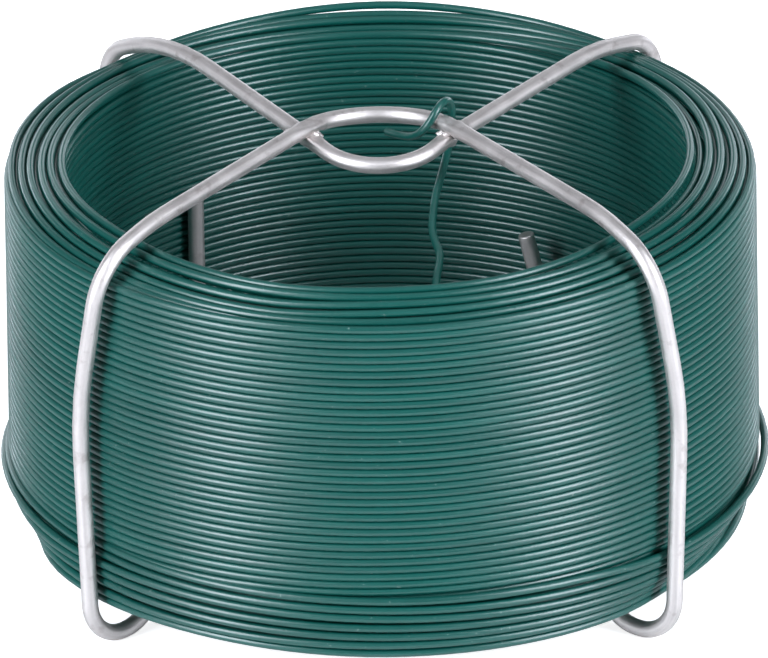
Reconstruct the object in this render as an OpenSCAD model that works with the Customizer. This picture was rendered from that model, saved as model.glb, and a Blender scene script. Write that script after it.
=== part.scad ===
// A ring-shaped coil of plastic-coated garden wire in a welded wire holder.
// Two bent wires cross at two welds above the coil, where their middles form
// a hanging eye, and their four ends hook round the coil from below.
// Millimetres, +Z up. The origin is on the floor, under the centre of the coil.

/* [Garden wire] */
// Diameter over the plastic coating
wire_d = 1.2; // [0.8:0.1:2]
// Step from one turn to the next in a layer
turn_step = 1.23; // [1.2:0.01:2]
// Turns side by side in a full layer
turns = 44; // [30:1:80]
// Full layers from the bore to the outside
layers = 7; // [3:1:12]
// Step from one layer to the next
layer_step = 1.3; // [0.7:0.05:2]
// Loose turns of the last, unfinished layer, at the bottom
loose_turns = 8; // [2:1:16]

/* [Coil] */
// Diameter over the full layers
coil_d = 114; // [80:1:200]
// How far the middle layers rise past the outer ones at each end
crown = 2.4; // [0:0.1:4]
// Depth of the grooves between turns
groove_depth = 0.35; // [0.1:0.05:0.5]

/* [Holder wires] */
// Diameter of the galvanised wire
holder_d = 2.5; // [1.6:0.1:4]
// Clearance between the holder and the turns beside it
seat_gap = 0.35; // [0.2:0.05:1]
// Angles of the arms in plan, from the line through the welds: front and back wire
arm_angle = [55, 51]; // [46:1:60]
// Turn of the front wire about the coil's axis
front_turn = -1; // [-5:0.5:5]
// Distance between the two welds
weld_span = 21.5; // [21:0.5:30]
// Depth of the two wires pressed into each other at a weld
weld_bite = 0.1; // [0:0.05:0.4]
// Bend radius of the wires at a weld
weld_bend_r = 15; // [8:1:18]
// Height of the lower wire's underside at the welds above the coil's edge
weld_rise = 3.2; // [1.5:0.05:6]
// Bend radii of the hanging eye's two arcs: front and back wire
eye_bend_r = [11.5, 10]; // [8:0.5:12]
// How far the corners of the two arcs lie below the welds
eye_drop = [3, 2]; // [0:0.5:4]
// Clearance of the front arms' brows over the coil's crown: left and right
front_gap = [3.1, 2.8]; // [2:0.1:10]
// Clearance of the back arms' brows over the coil's crown: left and right
back_gap = [6.1, 2.4]; // [2:0.1:10]
// How far the front arms fall from the brows to the shoulders: left and right
front_fall = [1.5, 2.7]; // [0:0.1:5]
// How far the back arms fall from the brows to the shoulders: left and right
back_fall = [9.1, 3.6]; // [0:0.1:10]
// Distance in plan from the brows to the legs: front and back wire
brow_run = [13, 15.5]; // [12:0.5:18]
// Bend radius of the brows
brow_bend_r = 20; // [10:1:20]
// Bend radius of the shoulders
shoulder_bend_r = 8; // [5:0.5:8]
// How far the front legs bow out, as a turn about the coil's axis
leg_bow = 6; // [1:0.5:7]
// The same at their feet
foot_turn = 3.5; // [0:0.5:6]
// Where the front legs bow out most, as a share of their height
bow_share = 0.6; // [0.5:0.05:0.65]
// Bend radius of the bowed legs there
bow_bend_r = 60; // [30:5:60]
// Bend radius of the hooks under the coil
hook_bend_r = 6.4; // [4:0.1:6.4]
// Clearance of the hooks under the coil's lower crown
hook_gap = 2.05; // [1:0.05:5]
// Angle in plan from the arms to their hooks: front wire and back wire
hook_turn = [0, 34]; // [0:1:40]
// Height of the inner legs' tips above the coil's edge: left and right
tip_rise = [33, 23.5]; // [12:0.5:45]
// Lean of the back wire's inner legs towards the middle: left and right
tip_lean = [0, 12.5]; // [0:0.5:20]

/* [Hidden] */
$fn = 48;

holder_r = holder_d / 2;
// The loose turns lie in the grooves of the layer under them
nest_step = 0.82 * wire_d;
coil_r = coil_d / 2;
bore_r = coil_r - wire_d - (layers - 1) * layer_step;
loose_r = coil_r + nest_step;
// Half the width of a turn's flat side
land_half = 0.2 * wire_d;
coil_height = turns * turn_step;
// Heights above the floor, which the hooks stand on
edge_z = holder_d + hook_gap + crown;
top_z = edge_z + coil_height;
// Radii of the legs outside the coil and inside its bore
leg_r = loose_r + seat_gap + holder_r;
inner_r = bore_r - seat_gap - holder_r;
// The hooks' bends leave a short straight run between them
hook_r = min(hook_bend_r, 0.49 * (leg_r - inner_r));
// Height of the lower wire's centre line at the welds
weld_z = top_z + weld_rise + holder_r;
// The tail's way from the bore wall to the eye, above the floor
tail_route = [[24, -40.4, 10], [19, -42, 10.5], [14.5, -42.5, 14], [11.5, -41, 21],
    [9.5, -37.5, 30], [8.5, -33, 40], [7.9, -28.5, 48.8], [8.1, -24.5, 52.9],
    [8.6, -20.5, 54.1], [8.7, -17.5, 54.6], [8.1, -15, 55.3], [7.7, -12.5, 56.3],
    [7.9, -9.5, 57.8], [8.3, -6.5, 59], [9, -3.5, 60.2], [9.7, -0.5, 61.5],
    [10.4, 2.8, 63], [10.8, 5.1, 65.2], [10.9, 5.3, 67.7], [10.5, 4.1, 69.6],
    [9.7, 2.5, 70.3], [8.6, 0.8, 69.6], [7.5, 0.1, 68], [6.2, 0.4, 66.3],
    [4.8, 1.8, 65], [3.1, 3.5, 64.4], [1, 5.2, 64.3]];
// Turn of a bend from one ring of the wire's surface to the next, in degrees
bend_step = 10;

// Centre radius of a layer, counted from the bore
function layer_r(i) = bore_r + wire_d / 2 + i * layer_step;
// How far the end turn of a layer stands past the edge turns
function end_rise(i) = crown * sin(180 * i / (layers - 1));

// Centres of the turns in section: turn k of the bore's or the outer wall's layer,
// the end turn of layer i at the bottom (end -1) or the top (end 1), and a loose turn
function wall_turn(i, k) = [layer_r(i), edge_z + (k + 0.5) * turn_step];
function end_turn(i, end) = [layer_r(i), (edge_z + top_z) / 2
    + end * (coil_height / 2 - wire_d / 2 + end_rise(i))];
function loose_turn(k) = [loose_r - wire_d / 2, edge_z + k * turn_step];

// Flat side of a turn that faces out: the outline runs anticlockwise
function land(centre, out) = let(along = [-out[1], out[0]])
    [for (side = [-1, 1]) centre + wire_d / 2 * out + side * land_half * along];
// Sides of a row of turns that face out, with a groove between each two
function row(centres, out) = [for (i = [0 : len(centres) - 1])
    each concat(land(centres[i], out), i == len(centres) - 1 ? []
        : [(centres[i] + centres[i + 1]) / 2 + (wire_d / 2 - groove_depth) * out])];

// Section of the turns, cut on one side of the axis
module coil_section() {
    outer = layers - 1;
    polygon(concat(
        row([for (i = [0 : outer]) end_turn(i, -1)], [0, -1]),
        [land(wall_turn(outer, 0), [1, 0])[0]],
        land(loose_turn(1), [0, -1]),
        row([for (k = [1 : loose_turns]) loose_turn(k)], [1, 0]),
        land(loose_turn(loose_turns), [0, 1]),
        [land(wall_turn(outer, loose_turns), [1, 0])[1]],
        [[coil_r - groove_depth, edge_z + (loose_turns + 1) * turn_step]],
        row([for (k = [loose_turns + 1 : turns - 1]) wall_turn(outer, k)], [1, 0]),
        row([for (i = [outer : -1 : 0]) end_turn(i, 1)], [0, 1]),
        row([for (k = [turns - 1 : -1 : 0]) wall_turn(0, k)], [-1, 0])));
}

module wire_coil() {
    color("darkgreen") rotate_extrude($fn = 180) coil_section();
}

function unit(v) = v / norm(v);
// Turn between two directions, in degrees
function turn(u, v) = acos(u * v);
// A direction made square to another
function square_to(v, t) = unit(v - (v * t) * t);

// Points of a bend at a corner, from direction u to direction v
function bend_points(corner, u, v, r) = let(
        angle = turn(u, v),
        steps = ceil(angle / bend_step),
        start = corner - r * tan(angle / 2) * u,
        side = square_to(v, u))
    [for (i = [0 : steps]) let(a = angle * i / steps)
        start + r * sin(a) * u + r * (1 - cos(a)) * side];

// Route along straight runs, with a bend of its own radius at each corner
function bent_route(corners, bend_r) = let(
        last = len(corners) - 1,
        dir = [for (i = [0 : last - 1]) unit(corners[i + 1] - corners[i])])
    concat([corners[0]],
        [for (i = [1 : last - 1])
            each bend_points(corners[i], dir[i - 1], dir[i], bend_r[i])],
        [corners[last]]);

// Directions along a route, one at each point
function directions(route) = let(last = len(route) - 1)
    [for (i = [0 : last])
        i == 0 ? unit(route[1] - route[0])
        : i == last ? unit(route[last] - route[last - 1])
        : unit(unit(route[i] - route[i - 1]) + unit(route[i + 1] - route[i]))];

// Round wire swept along a route, flat at both ends
module wire_along(route, d, sides) {
    t = directions(route);
    count = len(route);
    across = square_to([0.3, 1, 0.2], t[0]);
    // Carried along without twist
    n = [for (i = 0, v = across; i < count;
        i = i + 1, v = i < count ? square_to(v, t[i]) : v) v];
    rings = [for (i = [0 : count - 1], k = [0 : sides - 1])
        let(a = 360 * k / sides)
        route[i] + d / 2 * (cos(a) * n[i] + sin(a) * cross(t[i], n[i]))];
    walls = [for (i = [0 : count - 2], k = [0 : sides - 1])
        let(a = i * sides + k, b = i * sides + (k + 1) % sides)
        each [[a, a + sides, b], [b, a + sides, b + sides]]];
    ends = [[for (k = [0 : sides - 1]) k],
        [for (k = [sides - 1 : -1 : 0]) (count - 1) * sides + k]];
    polyhedron(points = rings, faces = concat(walls, ends));
}

// A point turned about the coil's axis
function about_axis(p, angle) = let(c = cos(angle), s = sin(angle))
    [p[0] * c - p[1] * s, p[0] * s + p[1] * c, p[2]];
// Distance from p, along the direction u, to the circle of radius r about that axis:
// side is 1 for the far side of the circle or -1 for the near side
function way_to(p, u, r, side) = -(p * u) + side * sqrt(pow(p * u, 2) - p * p + r * r);
// A point in plan raised to a height
function raised(p, z) = [p[0], p[1], z];

// What differs between the front wire, 0, and the back wire, 1
brow_gap = [front_gap, back_gap];
brow_fall = [front_fall, back_fall];
leg_bows = [leg_bow, 0];
foot_turns = [foot_turn, 0];
leans = [[0, 0], tip_lean];

// Corners of one side of a holder wire, from the tip in the bore to the weld
function side_corners(wire, side, weld_z) = let(
        hand = side == "left" ? -1 : 1,
        s = side == "left" ? 0 : 1,
        way = 2 * wire - 1,
        sideways = -hand * way,
        weld = [hand * weld_span / 2, 0, 0],
        out = [hand * cos(arm_angle[wire]), way * sin(arm_angle[wire]), 0],
        reach = way_to(weld, out, leg_r, 1),
        brow = weld + (reach - brow_run[wire]) * out,
        brow_z = top_z + crown + brow_gap[wire][s] + holder_r,
        shoulder = weld + reach * out,
        shoulder_z = brow_z - brow_fall[wire][s],
        bow = about_axis(shoulder, sideways * leg_bows[wire]),
        leg = about_axis(shoulder, sideways * foot_turns[wire]),
        hook_angle = arm_angle[wire] - hook_turn[wire],
        inward = -[hand * cos(hook_angle), way * sin(hook_angle), 0],
        inner = leg + way_to(leg, inward, inner_r, -1) * inward,
        tip_z = edge_z + tip_rise[s],
        lean_run = [hand * (tip_z - holder_r) * tan(leans[wire][s]), 0, 0])
    concat([raised(inner - lean_run, tip_z), raised(inner, holder_r), raised(leg, holder_r)],
        leg_bows[wire] == 0 ? []
            : [raised(bow, holder_r + bow_share * (shoulder_z - holder_r))],
        [raised(shoulder, shoulder_z), raised(brow, brow_z), raised(weld, weld_z)]);
// Bend radii at those corners
function side_bends(wire) = concat([0, hook_r, hook_r],
    leg_bows[wire] == 0 ? [] : [bow_bend_r], [shoulder_bend_r, brow_bend_r, weld_bend_r]);

function reversed(v) = [for (i = [len(v) - 1 : -1 : 0]) v[i]];

// One whole holder wire: two hooked legs, two arms and an arc of the eye,
// which lies on the other side of the welds from the legs
module holder_wire(wire, weld_z) {
    eye_corner = [0, (1 - 2 * wire) * weld_span / 2 * tan(arm_angle[wire]),
        weld_z - eye_drop[wire]];
    corners = concat(side_corners(wire, "left", weld_z), [eye_corner],
        reversed(side_corners(wire, "right", weld_z)));
    bends = concat(side_bends(wire), [eye_bend_r[wire]], reversed(side_bends(wire)));
    wire_along(bent_route(corners, bends), holder_d, 16);
}

module front_holder_wire() {
    color("silver") rotate([0, 0, front_turn])
        holder_wire(0, weld_z + holder_d - weld_bite);
}

module back_holder_wire() {
    color("lightgray") holder_wire(1, weld_z);
}

// Points between the given ones, on a smooth curve through them all
function smooth_route(p, steps) = let(last = len(p) - 1)
    concat([for (i = [0 : last - 1], k = [0 : steps - 1]) let(
            a = p[max(i - 1, 0)], b = p[i], c = p[i + 1], d = p[min(i + 2, last)],
            t = k / steps)
        b + t / 2 * (c - a + t * (2 * a - 5 * b + 4 * c - d
            + t * (3 * (b - c) + d - a)))],
        [p[last]]);

// The inner end of the garden wire: it leaves the bore wall near the bottom,
// rises under the right weld and hooks over the eye
module wire_tail() {
    color("seagreen") wire_along(smooth_route(tail_route, 3), wire_d, 8);
}

wire_coil();
wire_tail();
front_holder_wire();
back_holder_wire();
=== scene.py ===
"""A coil of green coated garden wire in its galvanised wire holder.

The coil's turns are curves on routes worked out by loops. The two holder wires are
straight wires bent round their corners, with a bead of melted steel on each weld. The
garden wire's inner end is a short curve that rises through the bore and hooks over the
hanging eye.
"""

import math
from itertools import accumulate

import bmesh
import bpy
from mathutils import Matrix, Vector, noise


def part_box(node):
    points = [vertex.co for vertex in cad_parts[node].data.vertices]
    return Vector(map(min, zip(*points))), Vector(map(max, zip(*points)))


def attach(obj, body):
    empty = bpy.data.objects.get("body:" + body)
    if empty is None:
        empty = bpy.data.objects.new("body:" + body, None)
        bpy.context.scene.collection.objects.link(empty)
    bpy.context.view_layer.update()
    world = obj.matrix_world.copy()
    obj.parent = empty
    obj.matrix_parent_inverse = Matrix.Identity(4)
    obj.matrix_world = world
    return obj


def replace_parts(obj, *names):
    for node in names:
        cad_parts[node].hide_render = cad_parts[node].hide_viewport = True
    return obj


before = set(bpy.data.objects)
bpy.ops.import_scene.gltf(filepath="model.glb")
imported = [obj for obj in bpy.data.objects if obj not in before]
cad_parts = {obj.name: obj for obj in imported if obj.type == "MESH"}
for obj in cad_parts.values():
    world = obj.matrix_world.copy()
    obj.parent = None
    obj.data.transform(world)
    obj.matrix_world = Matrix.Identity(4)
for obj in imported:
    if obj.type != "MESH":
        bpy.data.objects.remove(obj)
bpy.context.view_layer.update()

MM = 0.001

# The garden wire, and its turns in a layer; the bore's layer starts a little lower
WIRE_D = 1.22 * MM
WIRE_R = WIRE_D / 2
TURN_STEP = 1.232 * MM
BORE_STEP = 1.22 * MM
LAYER_TURNS = 43
BORE_DROP = 0.3 * MM

# The coil: how far its ends are crowned, how far its outer turns lie inside its box, and
# the bore's turns inside those. Heights and radii are those of the turns' middles
CROWN = 2.4 * MM
OUTER_INSET = 1.58 * MM
WALL = 8.0 * MM
COIL_LOW, COIL_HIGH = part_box("wire_coil")
LOW_TURN = COIL_LOW[2] + CROWN + WIRE_R
HIGH_TURN = COIL_HIGH[2] - CROWN - WIRE_R
OUTER_R = COIL_HIGH[0] - OUTER_INSET
BORE_R = OUTER_R - WALL

# Points on a turn; angles go round the coil from its right side
STEPS = 120
STEP_ANGLE = 360 / STEPS
FRONT_ANGLE = -90
UPPER_START = -146
LAST_TURN_POINTS = 129

# How unevenly the turns lie, and how far the outer ones sag at the coil's sides
UNEVEN = 0.1 * MM
UNEVEN_LENGTH = 20 * MM
UNEVEN_BY_TURN = 0.3
SAG = 0.9 * MM

# The outer layer at the coil's sides: how far it stands out at its top, and how much
# more at its bottom. Under the loose turns it is drawn in, all round and again at the
# sides, between two shares of its depth
SIDES_AT_TOP, SIDES_BELOW = -0.3, 0.4
DRAWN_IN, DRAWN_IN_DEPTHS = 0.9, (0.82, 0.86)
SIDES_IN, SIDES_IN_DEPTHS = 1.8, (0.9, 0.96)

# How far a turn lies below the two whose furrow it fills, and how the lower end's turns
# rise when compared with the upper end's
FURROW_DROP = 0.8 * MM
LOWER_RISE = -0.5

# The mass under the visible turns: how far inside them its wall, foot and underside lie,
# the foot's height, and how far it reaches past the lowest turn and stays under the top
CORE_INSET = 0.3 * MM
FOOT_INSET = 1.6 * MM
UNDERSIDE_INSET = 3.4 * MM
FOOT_HEIGHT = 9 * MM
CORE_BELOW = 0.2 * MM
CORE_UNDER_TOP = 0.9 * MM
CORE_STEPS = 96

MERGE_DISTANCE = 0.001 * MM


# ---------------------------------------------------------------- shader maths

class Value:
    """A shader socket that takes part in Python sums."""

    def __init__(self, finish, socket):
        self.finish = finish
        self.socket = socket

    def maths(self, operation, other):
        return self.finish.add("ShaderNodeMath", {"operation": operation}, {0: self, 1: other})

    def __add__(self, other):
        return self.maths("ADD", other)

    def __sub__(self, other):
        return self.maths("SUBTRACT", other)

    def __mul__(self, other):
        return self.maths("MULTIPLY", other)

    def __rsub__(self, other):
        return self.finish.add("ShaderNodeMath", {"operation": "SUBTRACT"}, {0: other, 1: self})

    __radd__ = __add__
    __rmul__ = __mul__

    def part(self, name):
        return Value(self.finish, self.socket.node.outputs[name])


class Finish:
    """A node tree, and the one method that adds nodes to it."""

    def __init__(self, tree):
        self.tree = tree

    def add(self, kind, settings=None, values=None):
        node = self.tree.nodes.new(kind)
        for name, setting in (settings or {}).items():
            if name == "stops":
                self.set_stops(node.color_ramp, setting)
            else:
                setattr(node, name, setting)
        for name, value in (values or {}).items():
            self.feed(self.socket(node, name), value)
        return Value(self, next(s for s in node.outputs if s.enabled))

    def socket(self, node, name):
        if isinstance(name, int):
            return node.inputs[name]
        return next(s for s in node.inputs if s.enabled and s.name == name)

    def feed(self, socket, value):
        if isinstance(value, Value):
            self.tree.links.new(value.socket, socket)
        else:
            socket.default_value = value

    def set_stops(self, ramp, stops):
        while len(ramp.elements) < len(stops):
            ramp.elements.new(0.5)
        for element, (place, grey) in zip(ramp.elements, stops):
            element.position = place
            element.color = (grey, grey, grey, 1)

    def place(self, scale=(1, 1, 1)):
        where = self.add("ShaderNodeTexCoord").part("Object")
        return self.add("ShaderNodeMapping", {}, {"Vector": where, "Scale": scale})

    def noise(self, where, scale, detail=2.0):
        return self.add("ShaderNodeTexNoise", {}, {
            "Vector": where, "Scale": scale, "Detail": detail})

    def ramp(self, value, *stops):
        return self.add("ShaderNodeValToRGB", {"stops": stops}, {"Fac": value})

    def mix(self, amount, first, second):
        return self.add("ShaderNodeMix", {"data_type": "RGBA"}, {
            "Factor": amount, "A": first, "B": second})

    def bump(self, height, distance):
        return self.add("ShaderNodeBump", {}, {"Height": height, "Distance": distance})


def new_material(name, **values):
    """A material with a Principled shader, its constants set on the sockets."""
    material = bpy.data.materials.new(name)
    material.use_nodes = True
    finish = Finish(material.node_tree)
    shader = material.node_tree.nodes["Principled BSDF"]
    for socket, value in values.items():
        shader.inputs[socket.replace("_", " ")].default_value = value
    return material, finish, shader


def colour(red, green, blue):
    """A colour given as display levels from 0 to 255."""
    def linear(level):
        level /= 255
        return level / 12.92 if level < 0.04045 else ((level + 0.055) / 1.055) ** 2.4
    return (linear(red), linear(green), linear(blue), 1)


# ------------------------------------------------------------------- materials

def green_coating():
    """Smooth dark plastic: each turn has its own shade, with streaks and pale nicks.

    The scales are per metre, so the upright ones change from turn to turn.
    """
    material, finish, shader = new_material("coating", Specular_IOR_Level=0.8)
    turn_shade = finish.noise(finish.place((14, 14, 800)), 1.0, 0.0)
    streaks = finish.noise(finish.place((70, 70, 2600)), 1.0, 3.0)
    mottle = finish.noise(finish.place(), 260.0, 3.0)
    tone = turn_shade * 0.5 + streaks * 0.3 + mottle * 0.2
    tint = finish.mix(tone, colour(0, 58, 52), colour(3, 88, 79))
    nicks = finish.ramp(finish.noise(finish.place(), 1500.0, 1.0), (0.75, 0), (0.79, 1))
    finish.feed(shader.inputs["Base Color"],
                finish.mix(nicks * 0.22, tint, colour(150, 170, 165)))
    finish.feed(shader.inputs["Roughness"], streaks * 0.14 + nicks * 0.2 + 0.27)
    finish.feed(shader.inputs["Normal"], finish.bump(streaks, 0.03 * MM))
    return material


def galvanised_wire():
    """Drawn zinc-coated steel, with streaks along the wire and dull stained patches."""
    material, finish, shader = new_material("zinc", Metallic=1.0)
    straight = finish.add("ShaderNodeAttribute", {"attribute_name": "straight"}).part("Vector")
    drawn = finish.add("ShaderNodeMapping", {}, {"Vector": straight, "Scale": (2600, 2600, 90)})
    streaks = finish.noise(drawn, 1.0, 3.0)
    patches = finish.noise(finish.place(), 240.0, 4.0)
    grain = finish.noise(finish.place(), 1900.0, 2.0)
    stains = finish.ramp(finish.noise(finish.place(), 420.0, 3.0), (0.6, 0), (0.72, 1))
    tone = streaks * 0.5 + patches * 0.35 + grain * 0.15
    zinc = finish.mix(tone, colour(190, 183, 181), colour(246, 241, 238))
    finish.feed(shader.inputs["Base Color"],
                finish.mix(stains * 0.35, zinc, colour(150, 136, 132)))
    finish.feed(shader.inputs["Roughness"], patches * 0.2 + streaks * 0.14 + 0.36)
    finish.feed(shader.inputs["Normal"], finish.bump(streaks + grain * 0.5, 0.05 * MM))
    return material


# ---------------------------------------------------------------------- routes

def around(radius, degrees, height):
    angle = math.radians(degrees)
    return Vector((radius * math.cos(angle), radius * math.sin(angle), height))


def share_of(value, start, full):
    """How far a value has come from a start to a full value, from 0 to 1."""
    return min(max((value - start) / (full - start), 0), 1)


def unevenness(point, turn):
    """A small smooth shift, much the same for turns that lie side by side."""
    where = point / UNEVEN_LENGTH
    return UNEVEN * noise.noise(Vector((where.x, where.y, turn * UNEVEN_BY_TURN)))


def wound_layer(top, step, radius_at, sag=0):
    """A layer's turns from the front of the last one down, one step for each turn."""
    route = []
    for count in range(LAYER_TURNS * STEPS + 1):
        turn = count / STEPS
        depth = turn / LAYER_TURNS
        sideways = math.sin(math.tau * turn) ** 2
        height = top - step * turn
        point = around(radius_at(depth, sideways), FRONT_ANGLE - 360 * turn, height)
        point.z += unevenness(point, turn) - sag * sideways * depth
        route.append(point)
    return route


def outer_radius(depth, sideways):
    """The coil is a little narrow at its top, and drawn in under its loose turns."""
    drawn_in = DRAWN_IN * share_of(depth, *DRAWN_IN_DEPTHS)
    drawn_in += SIDES_IN * share_of(depth, *SIDES_IN_DEPTHS) * sideways
    return OUTER_R + ((SIDES_BELOW * depth + SIDES_AT_TOP) * sideways - drawn_in) * MM


def bore_radius(depth, sideways):
    """The bore is straight and round."""
    return BORE_R


def smooth_keys(keys, place):
    """The values at one place, on a smooth curve through the keys: (place, values)."""
    last = max(n for n in range(1, len(keys) - 2) if n == 1 or keys[n][0] <= place)
    (a0, *p0), (a1, *p1), (a2, *p2), (a3, *p3) = keys[last - 1:last + 3]
    t = (place - a1) / (a2 - a1)
    curve = []
    for v0, v1, v2, v3 in zip(p0, p1, p2, p3):
        slope1 = (v2 - v0) / (a2 - a0) * (a2 - a1)
        slope2 = (v3 - v1) / (a3 - a1) * (a2 - a1)
        curve.append((2 * t**3 - 3 * t**2 + 1) * v1 + (t**3 - 2 * t**2 + t) * slope1
                     + (3 * t**2 - 2 * t**3) * v2 + (t**3 - t**2) * slope2)
    return curve


def closed_turn(keys, base_height, side=1):
    """One turn through its keys: (degrees, radius in mm, rise in mm)."""
    before = [(degrees - 360, *values) for degrees, *values in keys[-2:]]
    after = [(degrees + 360, *values) for degrees, *values in keys[:2]]
    route = []
    for count in range(STEPS):
        degrees = keys[0][0] + STEP_ANGLE * count
        radius, rise = smooth_keys(before + keys + after, degrees)
        route.append(around(radius * MM, degrees, base_height + side * rise * MM))
    return route


# The outer layer's last turn, which leaves the layer at the front and ends under the
# others: degrees round the coil from its right side, radius, rise over the layer
LAST_TURN = [(-180, 56.4, -0.3), (-90, 56.4, 0), (-45, 56.2, 0.2), (0, 55.9, 0.6),
             (15, 55.5, 0.7), (30, 55.4, 0.7), (48, 55.2, 0.7), (67, 55.5, 1.4),
             (90, 55.5, 2.1), (118, 55.0, 1.3), (137, 55.5, 0.4), (150, 56.1, 0.7),
             (165, 56.1, 0.7), (182, 55.5, 0.6), (220, 55.4, 0.2), (250, 54.6, -0.4),
             (280, 53.6, -0.6), (300, 53, -0.6)]

# Turns on the coil's upper end, outermost first, all from the same angle on: degrees,
# radius, rise
UPPER_TURNS = [
    [(-146, 54.2, 0.8), (-110, 54.7, 0.35), (-90, 55.0, 0.6), (-68, 55.0, 0.75),
     (0, 54.6, 1.2), (45, 54.0, 1.0), (90, 54.0, 1.2), (137, 54.2, 0.9), (160, 54.4, 1.2),
     (180, 54.0, 1.2)],
    [(-146, 53.0, 1.5), (-110, 53.6, 0.75), (-90, 53.7, 1.4), (-68, 53.7, 1.5),
     (-40, 53.4, 1.8), (0, 53.3, 1.7), (45, 52.9, 1.4), (90, 52.5, 1.0),
     (137, 52.9, 1.2), (180, 52.7, 1.6)],
    [(-146, 51.8, 2.3), (-110, 52.2, 1.6), (-90, 52.3, 2.2), (-68, 52.3, 2.1),
     (-37, 51.9, 2.3), (0, 51.4, 2.0), (33, 52.3, 1.6), (90, 51.1, 0.1), (180, 51.0, 1.9)],
    [(-146, 49.5, 2.7), (-110, 50.9, 2.7), (-90, 51.0, 2.7), (-68, 50.9, 2.7),
     (-38, 50.3, 2.8), (0, 49.6, 2.3), (36, 50.9, 1.4), (90, 50.1, -0.6),
     (135, 49.9, 0.6), (180, 49.7, 1.9)],
    [(-146, 47.7, 3.0), (-110, 49.6, 3.0), (-90, 49.6, 3.2), (-68, 49.5, 3.25),
     (-37, 47.0, 3.1), (0, 46.8, 2.6), (38, 48.1, 1.5), (90, 48.7, 0.2),
     (135, 48.6, 0.9), (180, 48.0, 1.9)],
]

# Turns seen in the gaps between those: radius, rise
UNDER_TURNS = [(49.2, -0.9), (50.4, -0.8), (51.7, -0.6), (52.9, -0.3), (54.1, -0.4),
               (55.2, -0.7)]

# Loose turns round the coil's foot, from the top down: degrees, radius, rise over the
# layer's lowest turn
LOOSE_TURNS = [
    [(-165, 56.6, 9.4), (-150, 56.6, 9.3), (-125, 56.9, 9.0), (-90, 57.5, 8.7),
     (-60, 57.5, 8.1), (-46, 57.4, 7.0), (-30, 57.5, 6.6), (-15, 57.8, 6.9), (0, 57.8, 7.0),
     (90, 57.2, 8.0), (180, 56.6, 9.4)],
    [(-165, 57.1, 8.1), (-150, 56.9, 8.0), (-125, 57.1, 7.6), (-90, 57.5, 7.2), (-54, 57.5, 6.3),
     (-30, 57.2, 5.4), (-15, 56.6, 5.7), (0, 56.3, 5.9), (90, 57.2, 6.6), (180, 57.1, 8.1)],
    [(-165, 57.7, 6.8), (-150, 57.6, 6.5), (-125, 57.5, 6.4), (-90, 57.5, 5.8),
     (-54, 57.4, 4.8), (-32, 56.6, 4.2), (-15, 55.4, 4.5), (0, 55.3, 4.7), (90, 56.8, 5.4),
     (170, 57.6, 7.0)],
    [(-165, 57.1, 5.4), (-155, 57.4, 5.0), (-140, 57.4, 5.0), (-90, 57.4, 4.2),
     (-54, 57.2, 3.5), (-36, 56.4, 3.1), (-26, 55.1, 3.2), (-15, 54.6, 3.4), (0, 54.5, 3.5),
     (90, 56.6, 4.1), (180, 56.3, 5.6)],
    [(-165, 55.9, 4.0), (-156, 56.8, 3.8), (-145, 57.2, 3.6), (-90, 57.3, 2.7),
     (-54, 57.0, 2.2), (-40, 56.0, 2.1), (-30, 54.9, 2.2), (-15, 54.2, 2.3), (0, 54.4, 2.4),
     (90, 56.0, 2.8), (180, 55.4, 4.2)],
    [(-165, 54.9, 2.5), (-156, 56.2, 2.1), (-145, 56.9, 1.7), (-120, 57.0, 1.4), (-90, 57.2, 1.3),
     (-54, 56.7, 0.95), (-40, 55.4, 1.0), (-30, 54.5, 1.1), (-15, 54.0, 1.2), (0, 53.9, 1.3),
     (90, 55.5, 1.5), (180, 54.6, 2.8)],
    [(-165, 54.2, 1.2), (-156, 55.9, 0.8), (-150, 56.6, 0.5), (-140, 56.7, 0.2),
     (-120, 56.7, 0.2), (-90, 56.8, -0.2), (-54, 56.5, -0.3), (-42, 55.5, -0.1),
     (-32, 54.8, 0), (-15, 53.7, 0.2), (0, 53.6, 0.3), (90, 55.2, 0.4), (180, 53.9, 1.5)],
]

# The wire's inner end, from the bore wall to the hanging eye, in mm
TAIL_ROUTE = [
    (24, -40.4, 10), (19, -42, 10.5), (14.5, -42.5, 14), (11.5, -41, 21),
    (9.5, -37.5, 30), (8.5, -33, 40), (7.9, -28.5, 48.8), (8.1, -24.5, 52.9),
    (8.6, -20.5, 54.1), (8.7, -17.5, 54.6), (8.1, -15, 55.3), (7.7, -12.5, 56.3),
    (7.9, -9.5, 57.8), (8.3, -6.5, 59), (9, -3.5, 60.2), (9.7, -0.5, 61.5),
    (10.4, 2.8, 63), (10.8, 5.1, 65.2), (10.9, 5.3, 67.7), (10.5, 4.1, 69.6),
    (9.7, 2.5, 70.3), (8.6, 0.8, 69.6), (7.5, 0.1, 68), (6.2, 0.4, 66.3),
    (4.8, 1.8, 65), (3.1, 3.5, 64.4), (1, 5.2, 64.3)]
TAIL_STEPS = 6


# ------------------------------------------------------------------- wire work


def dress(piece, material):
    """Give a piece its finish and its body."""
    piece.data.materials.append(material)
    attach(piece, "root")
    return piece


def wire_curve(name, routes, material, closed=False):
    """Coated wire on its routes, as one curve object."""
    curve = bpy.data.curves.new(name, "CURVE")
    curve.dimensions = "3D"
    curve.bevel_depth = WIRE_R
    curve.bevel_resolution = 3
    curve.use_fill_caps = True
    for route in routes:
        spline = curve.splines.new("POLY")
        spline.points.add(len(route) - 1)
        spline.points.foreach_set("co", [v for point in route for v in (*point, 1)])
        spline.use_cyclic_u = closed
    piece = bpy.data.objects.new(name, curve)
    bpy.context.scene.collection.objects.link(piece)
    return dress(piece, material)


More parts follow.
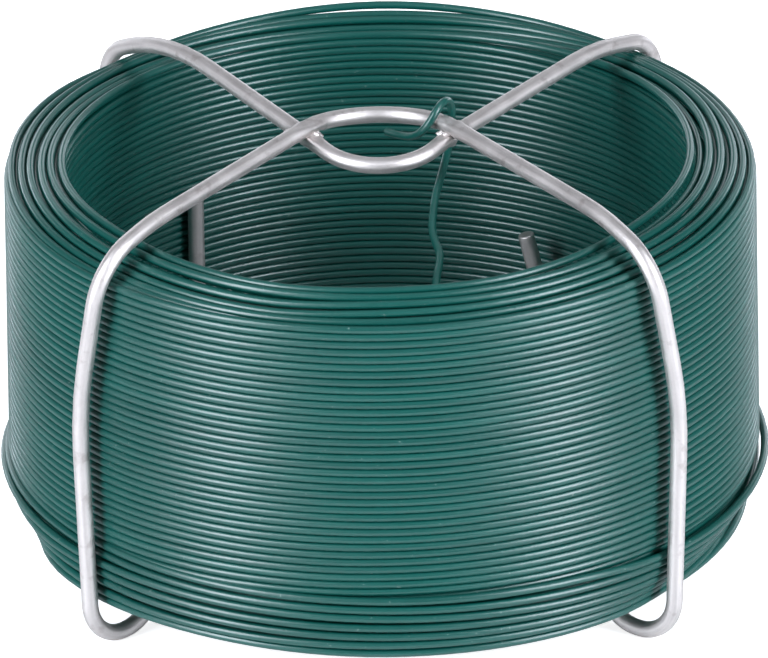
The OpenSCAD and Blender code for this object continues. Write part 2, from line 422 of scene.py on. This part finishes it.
def mesh_piece(name, mesh, material):
    """The object that holds a finished mesh."""
    data = bpy.data.meshes.new(name)
    mesh.to_mesh(data)
    mesh.free()
    piece = bpy.data.objects.new(name, data)
    bpy.context.scene.collection.objects.link(piece)
    return dress(piece, material)


def last_turn(start, points):
    """Points of the outer layer's last turn, from one angle on."""
    route = []
    for degrees in (start + STEP_ANGLE * n for n in range(points)):
        radius, rise = smooth_keys(LAST_TURN, degrees)
        route.append(around(radius * MM, degrees, HIGH_TURN + rise * MM))
    return route


def outer_turns(coating):
    """The outer layer: its last turn, then all the others down to the foot."""
    layer = wound_layer(HIGH_TURN, TURN_STEP, outer_radius, SAG)
    last = last_turn(FRONT_ANGLE + STEP_ANGLE, LAST_TURN_POINTS)
    return wire_curve("outer_turns", [last[::-1] + layer], coating)


def bore_turns(coating):
    """The innermost layer, which is the bore's wall."""
    layer = wound_layer(HIGH_TURN - BORE_DROP, BORE_STEP, bore_radius)
    return wire_curve("bore_turns", [layer], coating)


def in_furrows(routes):
    """Turns that lie in the furrows between neighbouring ones."""
    return [[(a + b) / 2 - Vector((0, 0, FURROW_DROP)) for a, b in zip(outer, inner)]
            for outer, inner in zip(routes, routes[1:])]


def flat_turn(radius, rise, base_height):
    return closed_turn([(degrees, radius, rise) for degrees in (0, 90, 180, 270)], base_height)


def upper_turns(coating):
    """The turns on the upper end, those in their furrows, and flat ones under them."""
    routes = [closed_turn(keys, HIGH_TURN) for keys in UPPER_TURNS]
    routes += in_furrows([last_turn(UPPER_START, STEPS)] + routes)
    routes += [flat_turn(radius, rise, HIGH_TURN) for radius, rise in UNDER_TURNS]
    return wire_curve("upper_turns", routes, coating, closed=True)


def lower_turns(coating):
    """The lower end mirrors the upper one, flatter and without its innermost turn."""
    routes = [closed_turn(keys, LOW_TURN, LOWER_RISE) for keys in UPPER_TURNS[:-1]]
    return wire_curve("lower_turns", routes, coating, closed=True)


def loose_turns(coating):
    """The turns of the last, unfinished layer, which lie round the foot."""
    routes = [closed_turn(keys, LOW_TURN) for keys in LOOSE_TURNS]
    return wire_curve("loose_turns", routes, coating, closed=True)


def inner_winding(coating):
    """The mass of turns under the visible ones, a ring turned from its section."""
    low, high = LOW_TURN - CORE_BELOW, HIGH_TURN - CORE_UNDER_TOP
    foot = LOW_TURN + FOOT_HEIGHT
    inside, outside = BORE_R + CORE_INSET, OUTER_R - CORE_INSET
    section = [(inside, low), (OUTER_R - UNDERSIDE_INSET, low), (OUTER_R - FOOT_INSET, foot),
               (outside, foot + MM), (outside, high), (inside, high)]
    mesh = bmesh.new()
    corners = [mesh.verts.new((r, 0, z)) for r, z in section]
    edges = [mesh.edges.new((a, b)) for a, b in zip(corners, corners[1:] + corners[:1])]
    bmesh.ops.spin(mesh, geom=corners + edges, cent=(0, 0, 0), axis=(0, 0, 1),
                   angle=math.tau, steps=CORE_STEPS, use_merge=True)
    bmesh.ops.remove_doubles(mesh, verts=mesh.verts, dist=MERGE_DISTANCE)
    bmesh.ops.recalc_face_normals(mesh, faces=mesh.faces)
    return mesh_piece("inner_winding", mesh, coating)


def spline_through(points, steps):
    """Points between the given ones, on a smooth curve through them all."""
    route = []
    last = len(points) - 1
    for n in range(last):
        a, b, c, d = (points[min(max(n + k, 0), last)] for k in (-1, 0, 1, 2))
        for k in range(steps):
            t = k / steps
            route.append(b + t / 2 * (c - a + t * (2 * a - 5 * b + 4 * c - d
                                                   + t * (3 * (b - c) + d - a))))
    return route + [points[last]]


def wire_tail(coating):
    points = [Vector(point) * MM for point in TAIL_ROUTE]
    return wire_curve("tail", [spline_through(points, TAIL_STEPS)], coating)


# ---------------------------------------------------------------------- holder

LEFT, RIGHT = -1, 1
FRONT, BACK = -1, 1

# The wire itself
HOLDER_R = 1.25 * MM
HOLDER_SIDES = 28
BEND_STEP = math.radians(5)
LONGEST_STRAIGHT = 1.5
SEAM_SIDE = Vector((0.3, 1, 0.2))
END_BEVEL = 0.25 * MM

# What both wires share, in mm: the welds' span, the legs' and the inner legs' radius, the
# share of a leg's height where it bows most, and the radius of each kind of bend
WELD_SPAN = 21.5
LEG_R, INNER_R = 59.584, 46.4
BOW_SHARE = 0.6
HOOK_BEND, BOW_BEND, SHOULDER_BEND, BROW_BEND, WELD_BEND = 6.4, 60, 8, 40, 15

# Where a weld's flattening begins beside it and where it is full, and what it does there:
# it takes off height, adds width, and roughens the wire with lumps of a given length
WELD_EDGE, WELD_CORE = 3.4 * MM, 2.0 * MM
WELDS_ABOVE = 60 * MM
FLATTENED, WIDENED = 0.32, 0.14
LUMP, LUMP_LENGTH = 0.3, 0.9 * MM

# The beads of melted steel in mm, and their lumps: amount, scale
BEAD_SIZE = (2.8, 1.1, 1.1)
BEAD_OUTSET = 0.7
BEAD_HEIGHT = 66.4
BEAD_LUMPS = ((0.3, 1.6), (0.05, 6))
BEAD_APART = 9

# Each wire in mm and degrees; pairs are left and right. way: the side of its legs. turn:
# about the coil's axis. arm: from the line through the welds. run: from the brow out to
# the shoulder. brow, shoulder and weld: heights. bow and foot: how far round the coil the
# leg bows and stands. hook: from the arm, under the coil. lean: of the inner leg. eye:
# the height of its arc, and the bend's radius
FRONT_WIRE = dict(way=FRONT, turn=-1, arm=(55, 55), run=13, brow=(67.2, 67.7),
                  shoulder=(65.0, 64.7), bow=5.3, foot=3.5, hook=(10, 18), lean=(0, 0),
                  weld=67.55, eye=(64.92, 11.5))
BACK_WIRE = dict(way=BACK, turn=0, arm=(54, 53), run=15.5, brow=(69.3, 66.3),
                 shoulder=(61.3, 62.5), bow=0, foot=0, hook=(30, 28), lean=(0, 13),
                 weld=65.8, eye=(63.52, 10))
TIP_HEIGHTS = (39.95, 32.4)


def rotated(point, degrees):
    return Matrix.Rotation(math.radians(degrees), 3, "Z") @ point


def to_circle(point, direction, radius, side):
    """Distance from a point, along a direction, to a circle round the coil's axis."""
    near = point.dot(direction)
    return -near + side * math.sqrt(near**2 - point.length_squared + radius**2)


def raised(point, height):
    return Vector((point.x, point.y, height))


def side_corners(wire, hand):
    """Corners of one side of a holder wire, from its tip in the bore to the weld."""
    pick = 0 if hand == LEFT else 1
    sideways = -hand * wire["way"]
    weld = Vector((hand * WELD_SPAN / 2, 0, 0))
    arm = math.radians(wire["arm"][pick])
    out = Vector((hand * math.cos(arm), wire["way"] * math.sin(arm), 0))
    reach = to_circle(weld, out, LEG_R, 1)
    shoulder = weld + reach * out
    leg = rotated(shoulder, sideways * wire["foot"])
    hook = arm - math.radians(wire["hook"][pick])
    inward = Vector((-hand * math.cos(hook), -wire["way"] * math.sin(hook), 0))
    inner = leg + to_circle(leg, inward, INNER_R, -1) * inward
    tip_height, foot_height = TIP_HEIGHTS[pick], HOLDER_R / MM
    slant = math.tan(math.radians(wire["lean"][pick]))
    tip = inner - Vector((hand * (tip_height - foot_height) * slant, 0, 0))
    corners = [(raised(tip, tip_height), 0), (raised(inner, foot_height), HOOK_BEND),
               (raised(leg, foot_height), HOOK_BEND)]
    if wire["bow"]:
        bow_height = foot_height + BOW_SHARE * (wire["shoulder"][pick] - foot_height)
        bow = rotated(shoulder, sideways * wire["bow"])
        corners.append((raised(bow, bow_height), BOW_BEND))
    brow = weld + (reach - wire["run"]) * out
    corners += [(raised(shoulder, wire["shoulder"][pick]), SHOULDER_BEND),
                (raised(brow, wire["brow"][pick]), BROW_BEND),
                (raised(weld, wire["weld"]), WELD_BEND)]
    return corners


def bend(corner, before, after, radius):
    """Points of a bend at a corner between two directions."""
    angle = before.angle(after)
    steps = math.ceil(angle / BEND_STEP)
    side = (after - before * after.dot(before)).normalized()
    start = corner - radius * math.tan(angle / 2) * before
    return [start + radius * math.sin(angle * n / steps) * before
            + radius * (1 - math.cos(angle * n / steps)) * side for n in range(steps + 1)]


def bent_route(corners):
    """A route along straight runs, with a bend at each corner: (corner, bend radius)."""
    places = [corner for corner, _ in corners]
    runs = [(b - a).normalized() for a, b in zip(places, places[1:])]
    route = [places[0]]
    for (corner, radius), before, after in zip(corners[1:], runs, runs[1:]):
        route += bend(corner, before, after, radius)
    return route + [places[-1]]


def filled_in(route, longest):
    """The same route with its long straight runs divided."""
    full = []
    for a, b in zip(route, route[1:]):
        parts = max(1, math.ceil((b - a).length / longest))
        full += [a.lerp(b, n / parts) for n in range(parts)]
    return full + [route[-1]]


def holder_route(wire):
    """A holder wire's route from its left tip, through the eye, to its right tip."""
    arm = math.radians(sum(wire["arm"]) / 2)
    eye_height, eye_bend = wire["eye"]
    eye = Vector((0, -wire["way"] * WELD_SPAN / 2 * math.tan(arm), eye_height))
    corners = side_corners(wire, LEFT) + [(eye, eye_bend)] + side_corners(wire, RIGHT)[::-1]
    route = filled_in(bent_route(corners), LONGEST_STRAIGHT)
    return [rotated(point, wire["turn"]) * MM for point in route]


def weld_squeeze(point):
    """How far a weld has flattened the wire here, from 0 to 1."""
    beside = min((point.xy - Vector((hand * WELD_SPAN / 2 * MM, 0))).length
                 for hand in (LEFT, RIGHT))
    share = share_of(beside, WELD_EDGE, WELD_CORE)
    return share * share * (3 - 2 * share) if point.z > WELDS_ABOVE else 0


def squeezed(offset, squeeze, spot):
    """A point of the wire's skin where a weld has flattened and roughened it."""
    limit = HOLDER_R * (1 - FLATTENED * squeeze)
    offset.z = min(max(offset.z, -limit), limit)
    offset.xy *= 1 + WIDENED * squeeze
    return offset * (1 + LUMP * squeeze * noise.noise(spot / LUMP_LENGTH))


def sides_along(route):
    """The wire's two sideways directions at each point of its route, never twisted."""
    sides, right = [], SEAM_SIDE
    last = len(route) - 1
    for n in range(last + 1):
        along = (route[min(n + 1, last)] - route[max(n - 1, 0)]).normalized()
        right = (right - along * right.dot(along)).normalized()
        sides.append((right, along.cross(right)))
    return sides


def close_ends(mesh):
    """Fill the wire's two cut ends and round their edges."""
    rims = [edge for edge in mesh.edges if edge.is_boundary]
    bmesh.ops.holes_fill(mesh, edges=rims, sides=0)
    bmesh.ops.recalc_face_normals(mesh, faces=mesh.faces)
    for face in mesh.faces:
        face.smooth = len(face.verts) == 4
    caps = [face for face in mesh.faces if not face.smooth]
    bmesh.ops.bevel(mesh, geom=[edge for face in caps for edge in face.edges],
                    offset=END_BEVEL, segments=2, profile=0.5, affect="EDGES", material=-1)


def drawn_wire(name, route, steel):
    """A straight round wire, made as a rolled grid, then bent along its route."""
    mesh = bmesh.new()
    last = len(route) - 1
    bmesh.ops.create_grid(mesh, x_segments=HOLDER_SIDES, y_segments=last, size=1)
    straight = mesh.verts.layers.float_vector.new("straight")
    travelled = [0, *accumulate((b - a).length for a, b in zip(route, route[1:]))]
    sides = sides_along(route)
    for vert in mesh.verts:
        n = round((vert.co.y + 1) / 2 * last)
        angle = (vert.co.x + 1) * math.pi
        cos, sin = math.cos(angle), math.sin(angle)
        spot = Vector((cos * HOLDER_R, sin * HOLDER_R, travelled[n]))
        vert[straight] = spot
        right, up = sides[n]
        offset = (right * cos + up * sin) * HOLDER_R
        vert.co = route[n] + squeezed(offset, weld_squeeze(route[n]), spot)
    bmesh.ops.remove_doubles(mesh, verts=mesh.verts, dist=MERGE_DISTANCE)
    close_ends(mesh)
    return mesh_piece(name, mesh, steel)


def weld_beads(steel):
    """The rough lumps of melted steel where the two wires cross."""
    mesh = bmesh.new()
    for hand in (LEFT, RIGHT):
        bead = bmesh.ops.create_icosphere(mesh, subdivisions=5, radius=1)["verts"]
        crossing = Vector((hand * (WELD_SPAN / 2 + BEAD_OUTSET), 0, BEAD_HEIGHT))
        centre = rotated(crossing, FRONT_WIRE["turn"])
        apart = Vector((BEAD_APART * hand, 0, 0))
        for vert in bead:
            size = 1 + sum(amount * noise.noise(vert.co * scale + apart)
                           for amount, scale in BEAD_LUMPS)
            vert.co = (centre + Matrix.Diagonal(BEAD_SIZE) @ vert.co * size) * MM
    for face in mesh.faces:
        face.smooth = True
    return mesh_piece("weld_beads", mesh, steel)


# ----------------------------------------------------------------------- stage

WHITE, BLACK = (1, 1, 1, 1), (0, 0, 0, 1)
FLOOR_COLOUR = (0.85, 0.85, 0.85, 1)
FLOOR_SIZE = 8
FLOOR_GLOW = 0.75
LAMP_COLOUR = (0.86, 0.91, 1)

# How much darker the surroundings are where they only give light
DIMMED = 0.92

# Azimuth from the front, elevation, distance, width, height and brightness
LAMPS = {
    "left_lamp": (-50, 26, 1.0, 0.28, 0.9, 17),
    "right_lamp": (55, 26, 1.0, 0.28, 0.9, 17),
    "left_rim_lamp": (-163, 16, 1.6, 0.5, 0.8, 2.6),
    "right_rim_lamp": (163, 16, 1.6, 0.5, 0.8, 2.6),
    "left_edge_lamp": (-142, 4, 1.6, 0.6, 0.2, 8),
    "right_edge_lamp": (142, 4, 1.6, 0.6, 0.2, 8),
    "top_lamp": (180, 78, 1.4, 1.6, 1.0, 0.45),
}

# Metres and degrees; the focal length is in the same unit as the image's width
CAMERA_DISTANCE = 2.28
CAMERA_ELEVATION = 25.5
CAMERA_ROLL = -0.9
CAMERA_REACH = 20
SENSOR_WIDTH = 36
IMAGE_WIDTH = 768
FOCAL_LENGTH = 15050
AIM = Vector((0.2 * MM, 0, 33.75 * MM))


def seen_directly(finish):
    """1 for rays that show the background itself, else 0."""
    return finish.add("ShaderNodeLightPath").part("Is Camera Ray")


def pale_floor():
    """A white floor that keeps a faint shadow."""
    bpy.ops.mesh.primitive_plane_add(size=FLOOR_SIZE)
    floor = bpy.context.object
    floor.name = "floor"
    material, finish, shader = new_material("pale_floor", Roughness=0.9)
    shader.inputs["Base Color"].default_value = FLOOR_COLOUR
    shader.inputs["Emission Strength"].default_value = FLOOR_GLOW
    finish.feed(shader.inputs["Emission Color"],
                finish.mix(seen_directly(finish), BLACK, WHITE))
    floor.data.materials.append(material)


def soft_light(name, azimuth, elevation, distance, width, height, brightness):
    """A soft lamp that points at the coil; azimuth 0 is the front."""
    lamp = bpy.data.lights.new(name, "AREA")
    lamp.shape = "RECTANGLE"
    lamp.size = width
    lamp.size_y = height
    lamp.energy = brightness * math.pi * width * height
    lamp.color = LAMP_COLOUR
    stand = bpy.data.objects.new(name, lamp)
    stand.visible_camera = False
    direction = around(1, azimuth + FRONT_ANGLE, 0) * math.cos(math.radians(elevation))
    direction.z = math.sin(math.radians(elevation))
    stand.location = direction * distance
    stand.rotation_euler = direction.to_track_quat("Z", "Y").to_euler()
    bpy.context.scene.collection.objects.link(stand)


def surroundings():
    """White where it is seen, and softer where it only gives light."""
    world = bpy.data.worlds.new("studio")
    world.use_nodes = True
    bpy.context.scene.world = world
    finish = Finish(world.node_tree)
    background = world.node_tree.nodes["Background"]
    background.inputs["Color"].default_value = WHITE
    unseen = 1 - seen_directly(finish)
    finish.feed(background.inputs["Strength"], 1 - unseen * DIMMED)


def camera():
    """A long lens, a little above the coil and slightly rolled."""
    data = bpy.data.cameras.new("camera")
    data.sensor_width = SENSOR_WIDTH
    data.lens = FOCAL_LENGTH * SENSOR_WIDTH / IMAGE_WIDTH
    data.clip_end = CAMERA_REACH
    eye = bpy.data.objects.new("camera", data)
    tilt = math.radians(CAMERA_ELEVATION)
    direction = Vector((0, -math.cos(tilt), math.sin(tilt)))
    eye.location = AIM + direction * CAMERA_DISTANCE
    turned = direction.to_track_quat("Z", "Y").to_matrix()
    eye.rotation_euler = (turned @ Matrix.Rotation(math.radians(CAMERA_ROLL), 3, "Z")).to_euler()
    bpy.context.scene.collection.objects.link(eye)
    bpy.context.scene.camera = eye


def main():
    camera()
    coating = green_coating()
    steel = galvanised_wire()
    for piece in (outer_turns(coating), bore_turns(coating), upper_turns(coating),
                  lower_turns(coating), loose_turns(coating), inner_winding(coating)):
        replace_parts(piece, "wire_coil")
    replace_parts(wire_tail(coating), "wire_tail")
    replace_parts(drawn_wire("front_wire", holder_route(FRONT_WIRE), steel), "front_holder_wire")
    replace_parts(weld_beads(steel), "front_holder_wire")
    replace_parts(drawn_wire("back_wire", holder_route(BACK_WIRE), steel), "back_holder_wire")
    pale_floor()
    surroundings()
    for name, placing in LAMPS.items():
        soft_light(name, *placing)
    bpy.context.scene.view_settings.view_transform = "Standard"


main()
